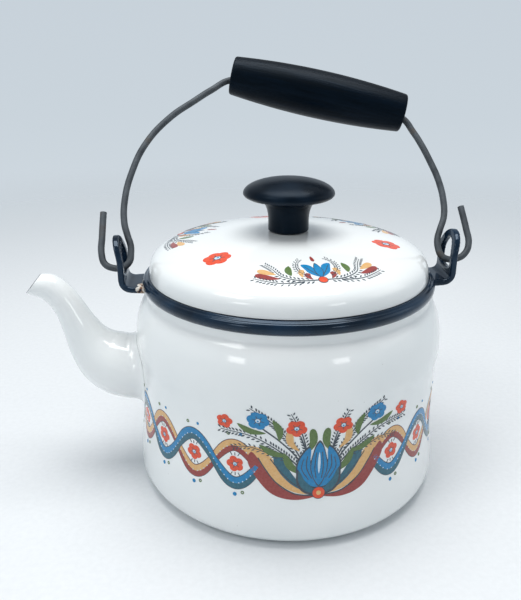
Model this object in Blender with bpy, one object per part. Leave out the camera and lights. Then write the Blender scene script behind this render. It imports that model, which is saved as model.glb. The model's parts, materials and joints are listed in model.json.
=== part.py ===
"""Enamelled steel tea kettle with a swinging wire bail, a turned grip and a lift-off lid.

Metres, +Z up. The origin is the centre of the flat base. The spout points along -X, and the two
ears that carry the bail stand in the same plane, at -X and +X.
"""

import math

import bmesh
import bpy
from mathutils import Matrix, Vector

MM = 0.001
BODY_SIDES = 56  # facets round the body, rim and lid
GRIP_SIDES, KNOB_SIDES, SMALL_SIDES = 32, 36, 24  # facets round the grip, the knob and small pieces
GAP = 0.3 * MM  # clearance between pieces that touch
SHEET = 1.2 * MM  # pressed steel with its enamel on both sides

# Body: a drawn pot with a slight waist, a round shoulder and a neck for the rim.
BASE_RADIUS = 93.3 * MM
BASE_CORNER = 10.6 * MM
WAIST_RADIUS, WAIST_HEIGHT = 90.3 * MM, 47.0 * MM
SHOULDER_RADIUS, SHOULDER_HEIGHT = 92.0 * MM, 91.0 * MM
RIM_TUBE = 4.0 * MM
RIM_RADIUS, RIM_HEIGHT = 82.5 * MM, 124.6 * MM
NECK_RADIUS = RIM_RADIUS - RIM_TUBE - GAP
NECK_START = 120.0 * MM
NECK_TOP = 127.4 * MM

# Spout: (x, z, radius, lean) of each cross-section; lean is the turn of its face from upright.
SPOUT_SECTIONS = (
    (-80.0, 67.5, 20.4, 0),
    (-98.0, 67.8, 20.3, 0),
    (-108.0, 70.8, 19.3, -16),
    (-116.0, 76.6, 16.7, -35),
    (-122.0, 85.2, 13.4, -50),
    (-126.6, 95.6, 10.8, -55),
    (-131.0, 106.6, 9.2, -52),
    (-136.0, 115.2, 8.6, -42),
    (-142.4, 120.9, 8.0, -30),
    (-150.4, 123.0, 7.4, -39),
)
SPOUT_SIDES = 28
SPOUT_OUTLET_RADIUS = 16.5 * MM
SPOUT_OUTLET_DEPTH = 40.0 * MM

# Ears: bent steel straps with an arched slot, one on each side of the rim.
EAR_WIDTH = 26.0 * MM
EAR_THICKNESS = 3.5 * MM
EAR_ARM_HEIGHT = 121.7 * MM
EAR_FACE = 96.0 * MM  # inner face of the upright, below its flare
EAR_TOP = 151.2 * MM
EAR_FLARE_START, EAR_FLARE_FULL = 136.0 * MM, 142.0 * MM  # heights between which it starts to lean out
EAR_FLARE = math.radians(14.0)
EAR_BEND = 7.0 * MM
SLOT_WIDTH = 17.0 * MM
SLOT_BOTTOM = 128.6 * MM
SLOT_TOP = 146.8 * MM
SLOT_CORNER = 3.0 * MM

# Bail: round wire in one plane through the pivot line, leaning back behind the lid.
WIRE_RADIUS = 2.0 * MM
PIVOT_HEIGHT = 131.4 * MM
BAIL_LEAN = math.radians(34.0)
WIRE_LEFT = Vector((-31.7, 0.0, 124.4)) * MM  # where the wire enters the grip's front end
WIRE_RIGHT = Vector((80.5, 0.0, 95.9)) * MM  # where it leaves the grip's rear end
# (across, up) of the wire's bends, from the front hook's end to the rear hook's end.
FRONT_LEG = (
    (-109.7, 35.0), (-110.3, 20.0), (-110.4, 8.5), (-108.4, 2.7), (-103.6, 0.1), (-98.2, 0.3),
    (-94.2, 3.6), (-93.3, 8.8), (-93.5, 14.0), (-95.3, 20.0), (-97.3, 28.5), (-97.0, 43.5),
    (-93.2, 60.0), (-84.6, 79.6), (-69.6, 97.4), (-53.6, 109.4), (-43.5, 116.4),
)
REAR_LEG = (
    (85.6, 85.6), (88.8, 79.3), (94.1, 66.0), (98.2, 52.7), (99.9, 39.0), (99.0, 28.5), (95.6, 20.0),
    (93.4, 14.0), (93.2, 8.4), (94.7, 3.4), (98.8, 0.9), (104.4, 1.3), (109.8, 4.6), (112.8, 11.2),
    (112.3, 20.0), (110.5, 35.0),
)
GRIP_LENGTH = 112.5 * MM
GRIP_BORE = 6.2 * MM  # wide enough to thread over the wire's bends
GRIP_END_RADIUS, GRIP_MIDDLE_RADIUS = 11.9 * MM, 14.9 * MM
GRIP_RISE = 3.4 * MM  # the grip's axis above the wire at the grip's ends
WIRE_ARCH = 1.6 * MM  # how far the wire arches up inside the bore
WIRE_RUN_IN = 2.0 * MM  # where the arch starts, inside each end of the grip

# Lid: a pressed dome that stands on the rim, with a skirt inside the neck.
LID_RADIUS = 82.2 * MM
LID_EDGE = RIM_HEIGHT + RIM_TUBE + GAP
LID_TOP = 152.4 * MM
LID_CROWN_POWER, LID_SIDE_POWER = 1.64, 3.57
SKIRT_RADIUS = 76.3 * MM
SKIRT_BOTTOM = 118.5 * MM

# Knob and its fastening.
KNOB_BASE = LID_TOP + GAP
KNOB_TOP = 183.6 * MM
KNOB_RADIUS = 26.6 * MM
KNOB_EDGE = 174.6 * MM
STEM_RADIUS = 11.9 * MM
STEM_LENGTH = 8.0 * MM  # the straight part of the stem, below its flare
FLARE_OUT, FLARE_UP = 6.0 * MM, 7.0 * MM
CAP_LIP_IN, CAP_LIP_DOWN = 2.2 * MM, 3.4 * MM  # the cap's underside, in from its widest edge and below it
INSERT_RADIUS, INSERT_LENGTH = 4.0 * MM, 12.0 * MM
INSERT_RECESS = 0.2 * MM
POCKET_SPARE = 1.0 * MM
SCREW_RADIUS, SCREW_HEAD_RADIUS, SCREW_HEAD, SCREW_EDGE = 2.0 * MM, 4.0 * MM, 2.6 * MM, 0.8 * MM
SCREW_SPARE = 1.0 * MM  # how far the screw's tip stops below the top of the insert
WASHER_RADIUS, WASHER_THICKNESS = 7.0 * MM, 1.0 * MM

for leftover in list(bpy.data.objects):
    bpy.data.objects.remove(leftover, do_unlink=True)


def linear(channel):
    return channel / 12.92 if channel <= 0.04045 else ((channel + 0.055) / 1.055) ** 2.4


def finish(name, code, roughness, metallic=0.0):
    """A Principled material from an sRGB hex code."""
    rgb = [linear(int(code[i:i + 2], 16) / 255) for i in (0, 2, 4)]
    made = bpy.data.materials.new(name)
    made.use_nodes = True
    shader = made.node_tree.nodes["Principled BSDF"]
    shader.inputs["Base Color"].default_value = (*rgb, 1.0)
    shader.inputs["Roughness"].default_value = roughness
    shader.inputs["Metallic"].default_value = metallic
    return made


WHITE_ENAMEL = finish("white_enamel", "EDF2F4", 0.12)
DARK_ENAMEL = finish("dark_enamel", "2A3442", 0.2)
BARE_WIRE = finish("bare_wire", "4A4C50", 0.45, 1.0)
BLACK_WOOD = finish("black_wood", "1B252E", 0.4)
BLACK_PHENOLIC = finish("black_phenolic", "26303A", 0.3)
BRASS = finish("brass", "B08D4A", 0.35, 1.0)
ZINC = finish("zinc_steel", "A9ADB2", 0.35, 1.0)


def add_object(name, shape, material, parent=None):
    """Turns a bmesh into a named object with one material, shaded smooth between its sharp edges."""
    bmesh.ops.recalc_face_normals(shape, faces=shape.faces[:])
    mesh = bpy.data.meshes.new(name)
    shape.to_mesh(mesh)
    shape.free()
    mesh.shade_smooth()
    mesh.set_sharp_from_angle(angle=math.radians(35))
    mesh.materials.append(material)
    made = bpy.data.objects.new(name, mesh)
    bpy.context.collection.objects.link(made)
    made.parent = parent
    return made


def arc(centre, radii, start, end, steps):
    """Points on an ellipse's arc as (radius, height), angles in degrees from the outward direction."""
    angles = [math.radians(start + (end - start) * i / steps) for i in range(steps + 1)]
    return [(centre[0] + radii[0] * math.cos(a), centre[1] + radii[1] * math.sin(a)) for a in angles]


def eased(start, end, steps):
    """Points from start to end whose radius changes along half a cosine wave; start is left out."""
    points = []
    for i in range(1, steps + 1):
        share = i / steps
        blend = (1 - math.cos(math.pi * share)) / 2
        points.append((start[0] + (end[0] - start[0]) * blend, start[1] + (end[1] - start[1]) * share))
    return points


def offset(points, distance):
    """The outline moved sideways: to the left of its direction of travel when distance is positive."""
    moved = []
    for i, (r, z) in enumerate(points):
        before, after = points[max(i - 1, 0)], points[min(i + 1, len(points) - 1)]
        along = Vector((after[0] - before[0], after[1] - before[1])).normalized()
        moved.append((max(r - along.y * distance, 0.0), z + along.x * distance))
    return moved


def turned(outline, sides, closed):
    """Spins a (radius, height) outline about Z. A closed outline makes a ring."""
    shape = bmesh.new()
    points = [shape.verts.new((r, 0.0, z)) for r, z in outline]
    pairs = list(zip(points, points[1:] + points[:1] if closed else points[1:]))
    edges = [shape.edges.new(pair) for pair in pairs]
    bmesh.ops.spin(shape, geom=points + edges, cent=(0, 0, 0), axis=(0, 0, 1), angle=math.tau, steps=sides)
    bmesh.ops.remove_doubles(shape, verts=shape.verts[:], dist=0.001 * MM)
    return shape


def prism(outline, low, high, axis):
    """Extrudes a flat outline along X (axis 0) or Y (axis 1), from low to high."""
    shape = bmesh.new()
    place = (lambda a, b: (low, a, b)) if axis == 0 else (lambda a, b: (a, low, b))
    face = shape.faces.new([shape.verts.new(place(a, b)) for a, b in outline])
    grown = bmesh.ops.extrude_face_region(shape, geom=[face])["geom"]
    step = Vector((high - low, 0, 0)) if axis == 0 else Vector((0, high - low, 0))
    bmesh.ops.translate(shape, verts=[v for v in grown if isinstance(v, bmesh.types.BMVert)], vec=step)
    return shape


def cutter(name, shape):
    made = add_object(name, shape, WHITE_ENAMEL)
    made.hide_render = True
    made.display_type = "WIRE"
    return made


def cut(target, tool, operation="DIFFERENCE"):
    """Adds an exact Boolean that stays live on the target."""
    modifier = target.modifiers.new(tool.name, "BOOLEAN")
    modifier.object = tool
    modifier.operation = operation
    modifier.solver = "EXACT"


def body_outline():
    """The pot's outside, from the centre of the base up to the top of the neck."""
    corner = arc((BASE_RADIUS - BASE_CORNER, BASE_CORNER), (BASE_CORNER, BASE_CORNER), -90, 0, 5)
    waist = eased(corner[-1], (WAIST_RADIUS, WAIST_HEIGHT), 4)
    shoulder_start = (SHOULDER_RADIUS, SHOULDER_HEIGHT)
    wall = eased(waist[-1], shoulder_start, 4)
    radii = (SHOULDER_RADIUS - NECK_RADIUS, NECK_START - SHOULDER_HEIGHT)
    shoulder = arc((NECK_RADIUS, SHOULDER_HEIGHT), radii, 0, 90, 7)[1:]
    return [(0.0, 0.0)] + corner + waist + wall + shoulder + [(NECK_RADIUS, NECK_TOP)]


def make_body():
    outside = body_outline()
    inside = offset(outside, SHEET)[::-1]
    inside[0] = (NECK_RADIUS - SHEET, NECK_TOP)
    inside[-1] = (0.0, SHEET)
    body = add_object("kettle_body", turned(outside + inside, BODY_SIDES, closed=False), WHITE_ENAMEL)
    hole = bmesh.new()
    bmesh.ops.create_cone(hole, cap_ends=True, segments=SMALL_SIDES, radius1=SPOUT_OUTLET_RADIUS,
                          radius2=SPOUT_OUTLET_RADIUS, depth=SPOUT_OUTLET_DEPTH)
    bmesh.ops.rotate(hole, verts=hole.verts[:], matrix=Matrix.Rotation(math.pi / 2, 3, "Y"))
    root_height = SPOUT_SECTIONS[0][1] * MM
    bmesh.ops.translate(hole, verts=hole.verts[:], vec=(-WAIST_RADIUS, 0, root_height))
    cut(body, cutter("spout_hole_cutter", hole))


def make_rim():
    outline = arc((RIM_RADIUS, RIM_HEIGHT), (RIM_TUBE, RIM_TUBE), 0, 330, 11)
    add_object("rim_band", turned(outline, BODY_SIDES, closed=True), DARK_ENAMEL)


def spout_ring(shape, section, inset):
    x, z, radius, lean = section
    turn = Matrix.Rotation(math.radians(-lean), 3, "Y")
    reach = radius * MM - inset
    ring = []
    for i in range(SPOUT_SIDES):
        angle = math.tau * i / SPOUT_SIDES
        spoke = turn @ Vector((0.0, reach * math.sin(angle), reach * math.cos(angle)))
        ring.append(shape.verts.new(Vector((x * MM, 0.0, z * MM)) + spoke))
    return ring


def make_spout():
    shape = bmesh.new()
    outside = [spout_ring(shape, section, 0.0) for section in SPOUT_SECTIONS]
    inside = [spout_ring(shape, section, SHEET) for section in SPOUT_SECTIONS]
    rings = outside + inside[::-1]
    for ring, following in zip(rings, rings[1:] + rings[:1]):
        for i in range(SPOUT_SIDES):
            j = (i + 1) % SPOUT_SIDES
            shape.faces.new((ring[i], ring[j], following[j], following[i]))
    spout = add_object("spout", shape, WHITE_ENAMEL)
    clear = offset(body_outline(), -GAP)
    clear[0] = (0.0, -GAP)
    clear.append((0.0, clear[-1][1]))
    cut(spout, cutter("spout_root_cutter", turned(clear, BODY_SIDES, closed=False)))


def ear_upright(x):
    """The side view of one face of an ear: plumb, then eased outward into its flare, up to the top."""
    span = EAR_FLARE_FULL - EAR_FLARE_START
    slope = math.tan(EAR_FLARE)
    points = []
    for share in (0.0, 1 / 3, 2 / 3, 1.0):
        points.append((x + slope * span * share ** 2 / 2, EAR_FLARE_START + span * share))
    return points + [(points[-1][0] + slope * (EAR_TOP - EAR_FLARE_FULL), EAR_TOP)]


def make_ear(name, side):
    """A strap bent up from a short arm beside the rim; side is -1 at the spout and 1 behind."""
    half = EAR_THICKNESS / 2
    inner_x, outer_x = EAR_FACE, EAR_FACE + EAR_THICKNESS
    low, high = EAR_ARM_HEIGHT - half, EAR_ARM_HEIGHT + half
    start = RIM_RADIUS
    bend_out = arc((outer_x - EAR_BEND, low + EAR_BEND), (EAR_BEND, EAR_BEND), -90, 0, 5)
    inner_bend = EAR_BEND - EAR_THICKNESS
    bend_in = arc((inner_x - inner_bend, high + inner_bend), (inner_bend, inner_bend), 0, -90, 4)
    strap = [(start, low)] + bend_out + ear_upright(outer_x) + ear_upright(inner_x)[::-1]
    strap += bend_in + [(start, high)]
    ear = add_object(name, prism(strap, -EAR_WIDTH / 2, EAR_WIDTH / 2, 1), DARK_ENAMEL)
    ear.rotation_euler.z = 0.0 if side > 0 else math.pi
    half_width = EAR_WIDTH / 2
    crown = [(half_width, low - MM)]
    crown += arc((0.0, EAR_TOP - half_width), (half_width, half_width), 0, 180, 12)
    crown += [(-half_width, low - MM)]
    crown = [(y * 1.001, z) for y, z in crown]
    slot_half = SLOT_WIDTH / 2
    arch_base = SLOT_BOTTOM + 2 * SLOT_CORNER
    slot = arc((0.0, SLOT_BOTTOM + SLOT_CORNER), (slot_half, SLOT_CORNER), 180, 360, 6)
    slot += arc((0.0, arch_base), (slot_half, SLOT_TOP - arch_base), 0, 180, 10)
    reach = (EAR_FACE - 10 * MM, EAR_FACE + 20 * MM)
    rim_clear = [(0.0, low - 5 * MM), (RIM_RADIUS + RIM_TUBE + GAP, low - 5 * MM)]
    rim_clear += [(RIM_RADIUS + RIM_TUBE + GAP, high + 5 * MM), (0.0, high + 5 * MM)]
    tools = (
        (cutter(name + "_crown_cutter", prism(crown, RIM_RADIUS - 5 * MM, reach[1], 0)), "INTERSECT"),
        (cutter(name + "_slot_cutter", prism(slot, reach[0], reach[1], 0)), "DIFFERENCE"),
        (cutter(name + "_rim_cutter", turned(rim_clear, BODY_SIDES, closed=False)), "DIFFERENCE"),
    )
    for tool, operation in tools:
        tool.parent = ear
        cut(ear, tool, operation)


def grip_upward():
    """The direction in the bail's plane that is square to the grip's axis."""
    along = (WIRE_RIGHT - WIRE_LEFT).normalized()
    return Vector((-along.z, 0.0, along.x))


def make_bail():
    """The wire as a Bezier curve in the bail's own upright plane; its object leans about the pivot."""
    along = (WIRE_RIGHT - WIRE_LEFT).normalized()
    arch = grip_upward() * WIRE_ARCH
    points = [Vector((x, 0.0, z)) * MM for x, z in FRONT_LEG]
    points.append(WIRE_LEFT + along * WIRE_RUN_IN)
    points += [WIRE_LEFT.lerp(WIRE_RIGHT, share) + arch for share in (0.3, 0.7)]
    points.append(WIRE_RIGHT - along * WIRE_RUN_IN)
    points += [Vector((x, 0.0, z)) * MM for x, z in REAR_LEG]
    curve = bpy.data.curves.new("bail_wire", "CURVE")
    curve.dimensions = "3D"
    curve.resolution_u = 3
    curve.bevel_depth = WIRE_RADIUS
    curve.bevel_resolution = 2
    curve.use_fill_caps = True
    spline = curve.splines.new("BEZIER")
    spline.bezier_points.add(len(points) - 1)
    for knot, place in zip(spline.bezier_points, points):
        knot.co = place
        knot.handle_left_type = knot.handle_right_type = "AUTO"
    curve.materials.append(BARE_WIRE)
    bail = bpy.data.objects.new("bail_wire", curve)
    bpy.context.collection.objects.link(bail)
    bail.location = (0.0, 0.0, PIVOT_HEIGHT)
    bail.rotation_euler.x = -BAIL_LEAN
    return bail


def make_grip(bail):
    """A turned barrel that turns freely round the wire, about its own axis."""
    half = GRIP_LENGTH / 2
    end_edge = 1.0 * MM
    steps = 10
    outside = []
    for i in range(steps + 1):
        share = 2 * i / steps - 1
        radius = GRIP_MIDDLE_RADIUS - (GRIP_MIDDLE_RADIUS - GRIP_END_RADIUS) * share ** 2
        outside.append((radius, share * (half - end_edge)))
    ends = [(GRIP_END_RADIUS - end_edge, half), (GRIP_BORE, half), (GRIP_BORE, -half)]
    ends.append((GRIP_END_RADIUS - end_edge, -half))
    grip = add_object("grip", turned(outside + ends, GRIP_SIDES, closed=True), BLACK_WOOD, bail)
    grip.location = (WIRE_LEFT + WIRE_RIGHT) / 2 + grip_upward() * GRIP_RISE
    grip.rotation_mode = "QUATERNION"
    grip.rotation_quaternion = Vector((0, 0, 1)).rotation_difference(WIRE_RIGHT - WIRE_LEFT)


def lid_outline(hole):
    """The dome's outside, from the hole in its centre out to its lower edge."""
    height = LID_TOP - LID_EDGE
    start = math.asin(hole / LID_RADIUS)
    points = []
    steps = 12
    for i in range(steps + 1):
        share = math.sin(start + (math.pi / 2 - start) * i / steps)
        rise = max(1 - share ** LID_CROWN_POWER, 0.0) ** (1 / LID_SIDE_POWER)
        points.append((LID_RADIUS * share, LID_EDGE + height * rise))
    return points


def make_lid():
    hole = SCREW_RADIUS + GAP
    outside = lid_outline(hole)
    under = [(hole, outside[0][1] - SHEET)] + offset(outside, -SHEET)[1:-1] + [(LID_RADIUS - SHEET, LID_EDGE)]
    rim_side = [point for point in under if point[0] > SKIRT_RADIUS + 0.5 * MM]
    middle = [point for point in under if point[0] < SKIRT_RADIUS - SHEET - 0.5 * MM]
    inner, outer = middle[-1], rim_side[0]

    def under_height(radius):
        share = (radius - inner[0]) / (outer[0] - inner[0])
        return inner[1] + (outer[1] - inner[1]) * share

    skirt_inside = SKIRT_RADIUS - SHEET
    skirt = [(skirt_inside, under_height(skirt_inside)), (skirt_inside, SKIRT_BOTTOM)]
    skirt += [(SKIRT_RADIUS, SKIRT_BOTTOM), (SKIRT_RADIUS, under_height(SKIRT_RADIUS))]
    outline = outside + (middle + skirt + rim_side)[::-1]
    add_object("lid_shell", turned(outline, BODY_SIDES, closed=True), WHITE_ENAMEL)


def make_knob():
    pocket = INSERT_RADIUS + GAP
    pocket_top = KNOB_BASE + INSERT_LENGTH + POCKET_SPARE
    flare = arc((STEM_RADIUS + FLARE_OUT, KNOB_BASE + STEM_LENGTH), (FLARE_OUT, FLARE_UP), 180, 100, 5)
    under = [(KNOB_RADIUS - CAP_LIP_IN, KNOB_EDGE - CAP_LIP_DOWN)]
    crown_radii = (KNOB_RADIUS, KNOB_TOP - KNOB_EDGE)
    crown = arc((0.0, KNOB_EDGE), crown_radii, 0, 90, 9)[:-1]
    outline = [(0.0, pocket_top), (pocket, pocket_top), (pocket, KNOB_BASE), (STEM_RADIUS, KNOB_BASE)]
    outline += flare + under + crown + [(0.0, KNOB_TOP)]
    add_object("lid_knob", turned(outline, KNOB_SIDES, closed=False), BLACK_PHENOLIC)


def make_fastening():
    """The threaded insert moulded into the knob, and the screw and washer under the dome."""
    bore = SCREW_RADIUS + GAP
    bottom = KNOB_BASE + INSERT_RECESS
    top = bottom + INSERT_LENGTH
    insert = [(bore, bottom), (INSERT_RADIUS, bottom), (INSERT_RADIUS, top), (bore, top)]
    add_object("knob_insert", turned(insert, SMALL_SIDES, closed=True), BRASS)
    washer_top = LID_TOP - SHEET - GAP
    washer_bottom = washer_top - WASHER_THICKNESS
    washer = [(bore, washer_bottom), (WASHER_RADIUS, washer_bottom)]
    washer += [(WASHER_RADIUS, washer_top), (bore, washer_top)]
    add_object("knob_washer", turned(washer, SMALL_SIDES, closed=True), ZINC)
    head_top = washer_bottom - GAP
    head_bottom = head_top - SCREW_HEAD
    screw = [(0.0, head_bottom), (SCREW_HEAD_RADIUS - SCREW_EDGE, head_bottom)]
    screw += [(SCREW_HEAD_RADIUS, head_bottom + SCREW_EDGE), (SCREW_HEAD_RADIUS, head_top)]
    screw += [(SCREW_RADIUS, head_top)]
    screw += [(SCREW_RADIUS, top - SCREW_SPARE), (0.0, top - SCREW_SPARE)]
    add_object("knob_screw", turned(screw, SMALL_SIDES, closed=False), ZINC)


make_body()
make_rim()
make_spout()
make_ear("ear_front", -1)
make_ear("ear_rear", 1)
make_grip(make_bail())
make_lid()
make_knob()
make_fastening()
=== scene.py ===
"""Enamelled steel tea kettle: the finished looks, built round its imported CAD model.

The sections follow the kettle as it goes together: pot, rim, spout, ears, bail, grip, lid, knob, prints.
"""

import json
import math

import bmesh
import bpy
from mathutils import Matrix, Vector

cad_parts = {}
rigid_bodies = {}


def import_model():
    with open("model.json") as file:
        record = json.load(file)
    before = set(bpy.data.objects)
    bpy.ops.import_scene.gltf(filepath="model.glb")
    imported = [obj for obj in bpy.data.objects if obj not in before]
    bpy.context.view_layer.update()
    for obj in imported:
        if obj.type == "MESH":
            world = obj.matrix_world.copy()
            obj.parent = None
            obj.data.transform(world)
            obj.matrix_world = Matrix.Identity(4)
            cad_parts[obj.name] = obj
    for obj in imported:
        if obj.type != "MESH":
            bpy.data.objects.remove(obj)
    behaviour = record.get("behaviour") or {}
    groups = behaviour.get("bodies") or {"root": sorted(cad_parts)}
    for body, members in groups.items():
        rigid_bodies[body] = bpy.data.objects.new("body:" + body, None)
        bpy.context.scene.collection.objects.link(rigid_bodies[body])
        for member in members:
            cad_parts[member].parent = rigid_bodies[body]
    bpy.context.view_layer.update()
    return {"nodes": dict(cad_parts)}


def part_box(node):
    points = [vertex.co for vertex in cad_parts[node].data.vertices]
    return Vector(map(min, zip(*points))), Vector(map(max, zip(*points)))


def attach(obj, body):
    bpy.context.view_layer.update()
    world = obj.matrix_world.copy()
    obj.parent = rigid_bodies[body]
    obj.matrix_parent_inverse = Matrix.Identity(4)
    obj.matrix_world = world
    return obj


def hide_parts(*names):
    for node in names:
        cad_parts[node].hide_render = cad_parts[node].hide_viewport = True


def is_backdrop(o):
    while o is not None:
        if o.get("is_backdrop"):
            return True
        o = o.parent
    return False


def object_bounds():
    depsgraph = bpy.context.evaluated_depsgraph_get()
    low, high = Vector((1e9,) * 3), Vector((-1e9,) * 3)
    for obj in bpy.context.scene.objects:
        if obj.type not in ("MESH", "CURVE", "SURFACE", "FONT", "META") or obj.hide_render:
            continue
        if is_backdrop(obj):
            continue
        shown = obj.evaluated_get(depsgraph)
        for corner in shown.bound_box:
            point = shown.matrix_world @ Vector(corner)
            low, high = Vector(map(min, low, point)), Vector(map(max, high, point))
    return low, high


for leftover in list(bpy.data.objects):
    bpy.data.objects.remove(leftover, do_unlink=True)

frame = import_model()
MM = 0.001

# ----------------------------------------
# The pot. Deep-drawn steel sheet, dipped in white vitreous enamel and fired. It has a slight
# waist, a round shoulder and a short neck that the rolled rim closes.
POT_SIDES = 160
POT_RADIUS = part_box("kettle_body")[1].x
NECK_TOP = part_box("kettle_body")[1].z
SHEET = 1.2 * MM
BASE_CORNER = 10.6 * MM
WAIST_RADIUS, WAIST_HEIGHT = 90.3 * MM, 47.0 * MM
WALL_RADIUS, WALL_HEIGHT = 90.8 * MM, 77.0 * MM  # where the wall starts to roll out into the shoulder
SHOULDER_RADIUS, SHOULDER_HEIGHT = 92.2 * MM, 90.0 * MM
NECK_RADIUS, NECK_START = 78.2 * MM, 120.0 * MM
COLLAR_RADIUS, COLLAR_LOW, COLLAR_HIGH = 84.2 * MM, 115.4 * MM, 121.6 * MM  # the neck under the bead
CORNER_STEPS, WALL_STEPS, SHOULDER_STEPS = 9, 46, 20
SMOOTH_BELOW = math.radians(38)  # edges blunter than this are shaded smooth
MERGE_WITHIN = 0.004 * MM


def wall_radius(height):
    """The pot's outside radius at a height."""
    if height < BASE_CORNER:
        drop = 1 - height / BASE_CORNER
        return POT_RADIUS - BASE_CORNER * (1 - math.sqrt(max(1 - drop * drop, 0.0)))
    for low, high, start, end in (
        (BASE_CORNER, WAIST_HEIGHT, POT_RADIUS, WAIST_RADIUS),
        (WAIST_HEIGHT, WALL_HEIGHT, WAIST_RADIUS, WALL_RADIUS),
        (WALL_HEIGHT, SHOULDER_HEIGHT, WALL_RADIUS, SHOULDER_RADIUS),
    ):
        if height < high:
            blend = (1 - math.cos(math.pi * (height - low) / (high - low))) / 2
            return start + (end - start) * blend
    if height < NECK_START:
        share = (height - SHOULDER_HEIGHT) / (NECK_START - SHOULDER_HEIGHT)
        return NECK_RADIUS + (SHOULDER_RADIUS - NECK_RADIUS) * math.sqrt(max(1 - share * share, 0.0))
    return NECK_RADIUS


def pot_outline():
    """(radius, height) up the outside, from near the middle of the base to the top of the neck."""
    centre = POT_RADIUS - BASE_CORNER
    points = [(4.0 * MM, 0.0), (40.0 * MM, 0.0), (centre, 0.0)]
    for i in range(1, CORNER_STEPS + 1):
        angle = math.radians(-90 + 90 / CORNER_STEPS * i)
        points.append((centre + BASE_CORNER * math.cos(angle), BASE_CORNER * (1 + math.sin(angle))))
    for i in range(WALL_STEPS):
        height = BASE_CORNER + (SHOULDER_HEIGHT - BASE_CORNER) * i / WALL_STEPS
        points.append((wall_radius(height), height))
    for i in range(SHOULDER_STEPS + 1):
        angle = math.radians(90 * i / SHOULDER_STEPS)
        radius = NECK_RADIUS + (SHOULDER_RADIUS - NECK_RADIUS) * math.cos(angle)
        height = SHOULDER_HEIGHT + (NECK_START - SHOULDER_HEIGHT) * math.sin(angle)
        if height < COLLAR_LOW:
            points.append((radius, height))
    # The shoulder turns up into the collar, and the collar closes in under the bead.
    points += [(COLLAR_RADIUS + 0.5 * MM, COLLAR_LOW + 0.7 * MM)]
    points += [(COLLAR_RADIUS + 0.1 * MM, COLLAR_LOW + 1.8 * MM)]
    points += [(COLLAR_RADIUS, COLLAR_HIGH), (NECK_RADIUS + 2.0 * MM, COLLAR_HIGH + 2.4 * MM)]
    points += [(NECK_RADIUS, COLLAR_HIGH + 3.0 * MM), (NECK_RADIUS, NECK_TOP)]
    return points


def offset(points, distance):
    """The outline moved to the left of its direction of travel."""
    moved = []
    for i, (radius, height) in enumerate(points):
        before, after = points[max(i - 1, 0)], points[min(i + 1, len(points) - 1)]
        along = Vector((after[0] - before[0], after[1] - before[1])).normalized()
        moved.append((max(radius - along.y * distance, 0.2 * MM), height + along.x * distance))
    return moved


def settle(name):
    """Names the object just modelled, points its faces outward and puts its place in its mesh."""
    bpy.ops.object.mode_set(mode="EDIT")
    bpy.ops.mesh.select_all(action="SELECT")
    bpy.ops.mesh.remove_doubles(threshold=MERGE_WITHIN)
    bpy.ops.mesh.normals_make_consistent(inside=False)
    bpy.ops.object.mode_set(mode="OBJECT")
    bpy.ops.object.transform_apply(location=True, rotation=True, scale=True)
    bpy.ops.object.shade_smooth_by_angle(angle=SMOOTH_BELOW)
    made = bpy.context.object
    made.name = made.data.name = name
    return made


def turned(name, outline, sides, closed):
    """Turns an outline of (radius, height): a circle is extruded from each point to the next.

    A closed outline joins its last ring to its first; an open one is capped to the axis.
    """
    bpy.ops.object.select_all(action="DESELECT")
    radius, height = outline[0]
    bpy.ops.mesh.primitive_circle_add(vertices=sides, radius=radius, location=(0, 0, height))
    bpy.ops.object.mode_set(mode="EDIT")
    bpy.ops.mesh.select_all(action="SELECT")
    if not closed:
        bpy.ops.mesh.extrude_region_move(TRANSFORM_OT_translate={"value": (0, 0, 0)})
        bpy.ops.mesh.merge(type="CENTER")
        bpy.ops.mesh.select_all(action="DESELECT")
        shape = bmesh.from_edit_mesh(bpy.context.object.data)
        for vertex in shape.verts:
            vertex.select = vertex.co.length > radius / 2
        shape.select_flush(True)
        bmesh.update_edit_mesh(bpy.context.object.data)
    for new_radius, new_height in outline[1:] + (outline[:1] if closed else []):
        step = (0, 0, new_height - height)
        bpy.ops.mesh.extrude_region_move(TRANSFORM_OT_translate={"value": step})
        grow = new_radius / radius
        bpy.ops.transform.resize(value=(grow, grow, 1), center_override=(0, 0, new_height))
        radius, height = new_radius, new_height
    if not closed:
        bpy.ops.mesh.extrude_region_move(TRANSFORM_OT_translate={"value": (0, 0, 0)})
        bpy.ops.mesh.merge(type="CENTER")
    return settle(name)


def linear(code):
    """Linear RGBA from an sRGB hex code."""
    channels = [int(code[i:i + 2], 16) / 255 for i in (0, 2, 4)]
    return (*[c / 12.92 if c <= 0.04045 else ((c + 0.055) / 1.055) ** 2.4 for c in channels], 1.0)


def add_node(tree, kind, settings=None, values=None, links=None, stops=()):
    """Adds a node with its properties, socket values, (node, output) links and (position, hex) stops."""
    made = tree.nodes.new("ShaderNode" + kind)
    while stops and len(made.color_ramp.elements) < len(stops):
        made.color_ramp.elements.new(0.5)
    for k, (position, code) in enumerate(stops):
        made.color_ramp.elements[k].position = position
        made.color_ramp.elements[k].color = linear(code)
    for key, value in (settings or {}).items():
        setattr(made, key, value)
    for key, value in (values or {}).items():
        made.inputs[key].default_value = value
    for key, (source, output) in (links or {}).items():
        tree.links.new(source.outputs[output], made.inputs[key])
    return made


def new_finish(name):
    """An empty node material: its tree and its Principled shader."""
    made = bpy.data.materials.new(name)
    made.use_nodes = True
    return made, made.node_tree, made.node_tree.nodes["Principled BSDF"]


def wear(piece, material, body, node=None):
    """Gives a piece its material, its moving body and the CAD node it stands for."""
    piece.data.materials.clear()
    piece.data.materials.append(material)
    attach(piece, body)
    if node:
        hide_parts(node)


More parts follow.
